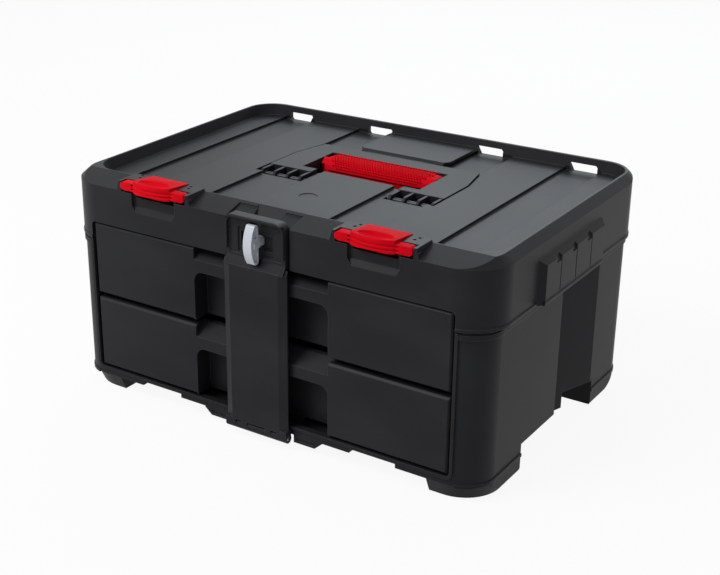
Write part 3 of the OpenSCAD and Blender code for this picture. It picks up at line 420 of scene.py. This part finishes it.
def soften(piece, width=0.35, steps=2, limit=35):  # rounds every edge sharper than the limit
    change = piece.modifiers.new("soften", "BEVEL")
    change.width, change.segments, change.limit_method = width / 1000, steps, "ANGLE"
    change.angle_limit = math.radians(limit)
    change.use_clamp_overlap = True
    bakeModifier(piece, change)


def settle(piece, body, finish, *replaced, smooth=40):
    bpy.ops.object.select_all(action="DESELECT")
    piece.select_set(True)
    bpy.context.view_layer.objects.active = piece
    bpy.ops.object.shade_smooth_by_angle(angle=math.radians(smooth))
    piece.data.materials.clear()
    piece.data.materials.append(finishes[finish])
    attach(piece, body)
    if replaced:
        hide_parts(*replaced)


def copyTo(piece, name, x):
    twin = piece.copy()
    twin.data = piece.data.copy()
    twin.name = twin.data.name = name
    twin.data.transform(Matrix.Translation(metres((x, 0, 0))))
    bpy.context.scene.collection.objects.link(twin)
    return twin


def joinAll(pieces, name):
    bpy.ops.object.select_all(action="DESELECT")
    for piece in pieces:
        piece.select_set(True)
    bpy.context.view_layer.objects.active = pieces[0]
    bpy.ops.object.join()
    bpy.context.object.name = name
    return bpy.context.object


# latches: a dished plate with a ribbed lip, on two ears; places are measured from the hinge pin

latch = {
    "side": 125, "pinY": -156.4, "pinZ": 231.5,
    "half": 22.5, "rear": 26, "front": -10.6, "top": 8, "rearFall": 3.4,
    "hollowTop": 1, "hollowFront": 8,  # the room under the plate
    "lipLow": -5, "lipRound": 3.2, "lipRadius": 48, "lipSides": 160, "lipCutter": 60,
    "ears": (39.6, 4.4, 4.1),  # half of their width, depth and height
    "earRound": 3.8,
    "dent": ((0, 1.2, 8.0), (18.5, 10, 5.4)),  # its floor stays above the pin
    "grooves": (-1.6, 2.2), "grooveProud": 0.15, "grooveRadius": 1.1,
    "grooveSteps": (134, 14), "grooveTurn": 0.013,
    "marks": (-3, 0.6, 4.2, 7.8, 11.4), "markBack": 0.13, "markHeight": 6,
    "markRadius": 0.8, "markLength": 8, "markSides": 12,
}


def makeLatch(look):
    at = lambda x, y, z: (x, look["pinY"] + y, look["pinZ"] + z)
    half, front, rear, top = look["half"], look["front"], look["rear"], look["top"]
    plate = block("latchPlate", at(-half, front, look["lipLow"]), at(half, rear, top))
    frontY, rearY = look["pinY"] + front + touch, look["pinY"] + rear - touch
    topZ = look["pinZ"] + top - touch
    slideEdges(plate, lambda x, y, z: y > rearY and z > topZ, (0, 0, -look["rearFall"]))
    bevelEdges(plate, lambda x, y, z: y < frontY, look["lipRound"])
    under = block("under", at(-half - clear, look["hollowFront"], look["lipLow"] - clear),
                  at(half + clear, rear + clear, look["hollowTop"]))
    combine(plate, under)
    bow = at(0, front + look["lipRadius"], 0)
    lipCurve = rod("lipCurve", bow, look["lipRadius"], look["lipCutter"], look["lipSides"])
    combine(plate, lipCurve, "INTERSECT")

    ears = block("ears", at(*(-size for size in look["ears"])), at(*look["ears"]))
    earTip = look["ears"][0] - touch
    bevelEdges(ears, lambda x, y, z: abs(x) > earTip, look["earRound"], axis=1)
    combine(plate, ears, "UNION")

    centre, radii = look["dent"]
    combine(plate, ball("dent", at(*centre), radii))
    for height in look["grooves"]:
        groove = ring("groove", at(0, front + look["lipRadius"], height),
                      look["lipRadius"] + look["grooveProud"], look["grooveRadius"],
                      look["grooveSteps"], look["grooveTurn"])
        combine(plate, groove)
    for x in look["marks"]:
        mark = rod("mark", at(x, rear + look["markBack"], look["markHeight"]),
                   look["markRadius"], look["markLength"], look["markSides"])
        combine(plate, mark)
    soften(plate)
    return plate


latchPlate = makeLatch(latch)
leftPlate = copyTo(latchPlate, "latchLeftPlate", -latch["side"])
rightPlate = copyTo(latchPlate, "latchRightPlate", latch["side"])
settle(leftPlate, "left_latch", "red_plastic", "latch_left")
settle(rightPlate, "right_latch", "red_plastic", "latch_right")
bpy.data.objects.remove(latchPlate)
print("latches ready")


# lock bar with its head and lip rounded at both top corners

barTrim = {
    "half": 33.5, "top": 231.2, "corner": 9, "front": -172, "back": -150,
    "past": 3, "rise": 20,  # how far the cutter reaches past the side and above the round's centre
    "cutterY": -160, "cutterLength": 60, "sides": 96,
    "weld": 0.000002,  # metres
}


def weldedCopy(node, name, weld):  # the node's loose triangles as one skin that can be cut
    bpy.ops.object.select_all(action="DESELECT")
    twin = nodes[node].copy()
    twin.data = nodes[node].data.copy()
    bpy.context.scene.collection.objects.link(twin)
    twin.data.transform(twin.matrix_world)
    twin.parent, twin.matrix_world = None, Matrix()
    twin.name = twin.data.name = name
    bpy.context.view_layer.objects.active = twin
    bpy.ops.mesh.customdata_custom_splitnormals_clear()
    bpy.ops.object.mode_set(mode="EDIT")
    bpy.ops.mesh.select_all(action="SELECT")
    bpy.ops.mesh.remove_doubles(threshold=weld)
    bpy.ops.object.mode_set(mode="OBJECT")
    return twin


def makeBarShell(look):
    shell = weldedCopy("lock_bar", "lockBarShell", look["weld"])
    base = look["top"] - look["corner"]
    for way in (-1, 1):
        centre = way * (look["half"] - look["corner"])
        outside = way * (look["half"] + look["past"])
        waste = block("waste", (min(centre, outside), look["front"], base),
                      (max(centre, outside), look["back"], base + look["rise"]))
        rounding = rod("round", (centre, look["cutterY"], base), look["corner"],
                       look["cutterLength"], look["sides"], (math.pi / 2, 0, 0))
        combine(waste, rounding)
        combine(shell, waste)
    return shell


settle(makeBarShell(barTrim), "lock_bar_arm", "black_plastic", "lock_bar", smooth=16)


# frame round the head of the lock bar

headFrame = {
    "half": 33.4, "low": 196, "high": 230, "back": -162, "front": -165.2,
    "corner": 9, "width": 2.4, "steps": 10, "soft": 1, "softSteps": 4,
}


def makeHeadFrame(look):
    half, high, inset = look["half"], look["high"], look["width"]
    rim = block("barHeadFrame", (-half, look["front"], look["low"]), (half, look["back"], high))
    bevelEdges(rim, lambda x, y, z: z > high - touch, look["corner"], look["steps"], axis=1)
    inner = block("inner", (-half + inset, look["front"] - clear, look["low"] - clear),
                  (half - inset, look["back"] + clear, high - inset))
    bevelEdges(inner, lambda x, y, z: z > high - inset - touch, look["corner"] - inset,
               look["steps"], axis=1)
    combine(rim, inner)
    soften(rim, look["soft"], look["softSteps"])
    return rim


settle(makeHeadFrame(headFrame), "lock_bar_arm", "black_plastic")
print("bar ready")


# soft grip of the carry handle, with its rows of studs

grip = {
    "low": (-69, 46.6, 199.5), "high": (69, 74.4, 222.0),
    "corner": 12, "cornerSteps": 10, "crown": 10, "crownSteps": 8, "belly": 5, "bellySteps": 5,
    "stud": (1.05, 1.05, 0.9), "segments": 8, "rings": 6,
    "pitch": 3.3, "rows": 12, "rowPitch": 2.6, "rearRow": 72.3,
    "endShare": 0.85,  # part of the crown that the rows leave free at each end
}


def makeGrip(look):
    front, bottom = (value + touch for value in look["low"][1:])
    side, back, top = (value - touch for value in look["high"])
    bar = block("gripBar", look["low"], look["high"])
    bevelEdges(bar, lambda x, y, z: y < front and abs(x) > side,
               look["corner"], look["cornerSteps"])
    bevelEdges(bar, lambda x, y, z: z > top and (y < back or abs(x) > side),
               look["crown"], look["crownSteps"])
    bevelEdges(bar, lambda x, y, z: z < bottom and (y < back or abs(x) > side),
               look["belly"], look["bellySteps"])
    return bar


def studRow(look, number):
    corner, crown, odd = look["corner"], look["crown"], number % 2
    bend = look["low"][1] + crown  # the flat top ends here and the crown's curve begins
    along = number * look["rowPitch"]
    turn = max(0, along - (look["rearRow"] - bend)) / crown
    y = look["rearRow"] - along if turn == 0 else bend - crown * math.sin(turn)
    drop = crown * (1 - math.cos(turn))
    short = max(0, look["low"][1] + corner - y)  # how far the row is into the round corners
    reach = (look["high"][0] - corner + math.sqrt(corner ** 2 - short ** 2)
             - crown * look["endShare"])
    count = int(2 * reach / look["pitch"] - odd) // 2 * 2 + 1 - odd  # staggers the rows
    first = -(count - 1) / 2 * look["pitch"]
    stud = ball(f"studs{number}", (first, y, look["high"][2] - drop), look["stud"],
                look["segments"], look["rings"])
    change = stud.modifiers.new("row", "ARRAY")
    change.count, change.use_relative_offset, change.use_constant_offset = count, False, True
    change.constant_offset_displace = metres((look["pitch"], 0, 0))
    bakeModifier(stud, change)
    return stud


settle(makeGrip(grip), "carry_handle_frame", "red_plastic", "handle_grip")
studRows = [studRow(grip, number) for number in range(grip["rows"])]
settle(joinAll(studRows, "gripStuds"), "carry_handle_frame", "red_plastic")
print("grip ready")
